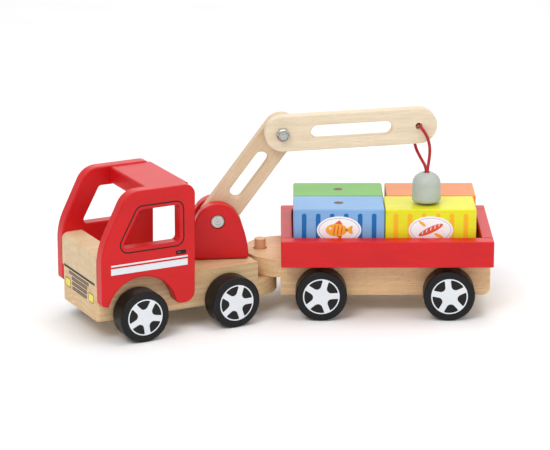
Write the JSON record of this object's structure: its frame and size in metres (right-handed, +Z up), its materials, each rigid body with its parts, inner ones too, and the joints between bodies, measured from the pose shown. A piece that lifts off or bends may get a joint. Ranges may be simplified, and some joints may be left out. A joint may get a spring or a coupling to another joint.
{
  "type": "toy crane truck with trailer",
  "caption": "Wooden toy crane truck with a swivelling folding arm and hanging magnet, pulling a trailer of rounded loading blocks.",
  "frame": {"origin": "on the floor, under the middle of the whole toy's box in the pose shown, all eight wheels standing on it", "axes": "+Z up, +X along the trailer from the hitch peg to its tail, -X the way the truck's front faces; the truck is turned 27 degrees about the hitch peg, front towards -Y"},
  "size_m": [0.3376, 0.1606, 0.1616],
  "materials": {
    "pale_wood": "satin",
    "red_paint": "satin",
    "red_cord": "matte",
    "wheel_black": "satin",
    "magnet_grey": "satin",
    "zinc_steel": "satin",
    "blue_paint": "satin",
    "green_paint": "satin",
    "yellow_paint": "satin",
    "orange_paint": "satin"
  },
  "bodies": {
    "truck": {"truck_chassis": "pale_wood", "bonnet_block": "pale_wood", "hitch_peg": "pale_wood", "cab_side_left": "red_paint", "cab_side_right": "red_paint", "cab_roof": "red_paint"},
    "turret": {"turret_washer": "zinc_steel", "turret_cheek_left": "red_paint", "turret_cheek_right": "red_paint", "turret_core": "red_paint", "turret_post": "pale_wood", "turret_screw": "zinc_steel", "boom_pin": "zinc_steel", "boom_pin_cap": "zinc_steel"},
    "lower_arm": {"lower_arm": "pale_wood"},
    "jib": {"jib": "pale_wood", "elbow_washer": "zinc_steel", "elbow_bolt": "zinc_steel", "elbow_nut": "zinc_steel"},
    "cord": {"magnet_cord": "red_cord", "cord_knot": "red_cord"},
    "magnet": {"magnet_housing": "magnet_grey", "magnet_disc": "zinc_steel"},
    "trailer": {"trailer_chassis": "pale_wood", "tray_side_left": "red_paint", "tray_side_right": "red_paint", "tray_end_front": "red_paint", "tray_end_rear": "red_paint", "tray_floor": "red_paint"},
    "truck_front_wheels": {"truck_front_axle": "pale_wood", "truck_front_wheel_left": "wheel_black", "truck_front_wheel_right": "wheel_black"},
    "truck_rear_wheels": {"truck_rear_axle": "pale_wood", "truck_rear_wheel_left": "wheel_black", "truck_rear_wheel_right": "wheel_black"},
    "trailer_front_wheels": {"trailer_front_axle": "pale_wood", "trailer_front_wheel_left": "wheel_black", "trailer_front_wheel_right": "wheel_black"},
    "trailer_rear_wheels": {"trailer_rear_axle": "pale_wood", "trailer_rear_wheel_left": "wheel_black", "trailer_rear_wheel_right": "wheel_black"},
    "blue_block": {"block_blue": "blue_paint", "steel_disc_blue": "zinc_steel"},
    "green_block": {"block_green": "green_paint", "steel_disc_green": "zinc_steel"},
    "yellow_block": {"block_yellow": "yellow_paint", "steel_disc_yellow": "zinc_steel"},
    "orange_block": {"block_orange": "orange_paint", "steel_disc_orange": "zinc_steel"}
  },
  "joints": [
    {"name": "truck_front_axle_spin", "type": "hinge", "parent": "truck", "child": "truck_front_wheels", "pos_m": [-0.1207, -0.02694, 0.02], "axis": [-0.454, 0.891, 0], "continuous": true},
    {"name": "truck_rear_axle_spin", "type": "hinge", "parent": "truck", "child": "truck_rear_wheels", "pos_m": [-0.05209, 0.00801, 0.02], "axis": [-0.454, 0.891, 0], "continuous": true},
    {"name": "trailer_front_axle_spin", "type": "hinge", "parent": "trailer", "child": "trailer_front_wheels", "pos_m": [0.03587, 0.02858, 0.02], "axis": [0, 1, 0], "continuous": true},
    {"name": "trailer_rear_axle_spin", "type": "hinge", "parent": "trailer", "child": "trailer_rear_wheels", "pos_m": [0.13507, 0.02858, 0.02], "axis": [0, 1, 0], "continuous": true},
    {"name": "turret_swivel", "type": "hinge", "parent": "truck", "child": "turret", "pos_m": [-0.04577, 0.01124, 0.04515], "axis": [0, 0, 1], "range_deg": [-105, 145]},
    {"name": "lower_arm_pivot", "type": "hinge", "parent": "turret", "child": "lower_arm", "pos_m": [-0.04577, 0.01124, 0.0752], "axis": [0.0993, -0.9951, 0], "range_deg": [0, 40]},
    {"name": "jib_pivot", "type": "hinge", "parent": "lower_arm", "child": "jib", "pos_m": [0.00464, 0.01627, 0.14371], "axis": [0.0993, -0.9951, 0], "range_deg": [0, 45]},
    {"name": "magnet_swing", "type": "hinge", "parent": "jib", "child": "cord", "pos_m": [0.11309, 0.01644, 0.1476], "axis": [-0.0993, 0.9951, 0], "range_deg": [-15, 20]},
    {"name": "magnet_spin", "type": "hinge", "parent": "cord", "child": "magnet", "pos_m": [0.1176, 0.00845, 0.08855], "axis": [0, 0, 1], "continuous": true},
    {"name": "hitch_swivel", "type": "hinge", "parent": "truck", "child": "trailer", "pos_m": [-0.01173, 0.02858, 0.03], "axis": [0, 0, 1], "range_deg": [0, 54]},
    {"name": "block_blue_lift", "type": "slide", "parent": "trailer", "child": "blue_block", "axis": [0, 0, 1], "range_m": [0, 0.024]},
    {"name": "block_green_lift", "type": "slide", "parent": "trailer", "child": "green_block", "axis": [0, 0, 1], "range_m": [0, 0.024]},
    {"name": "block_orange_lift", "type": "slide", "parent": "trailer", "child": "orange_block", "axis": [0, 0, 1], "range_m": [0, 0.024]},
    {"name": "block_yellow_shift", "type": "slide", "parent": "trailer", "child": "yellow_block", "axis": [1, 0, 0], "range_m": [0, 0.0035]}
  ]
}
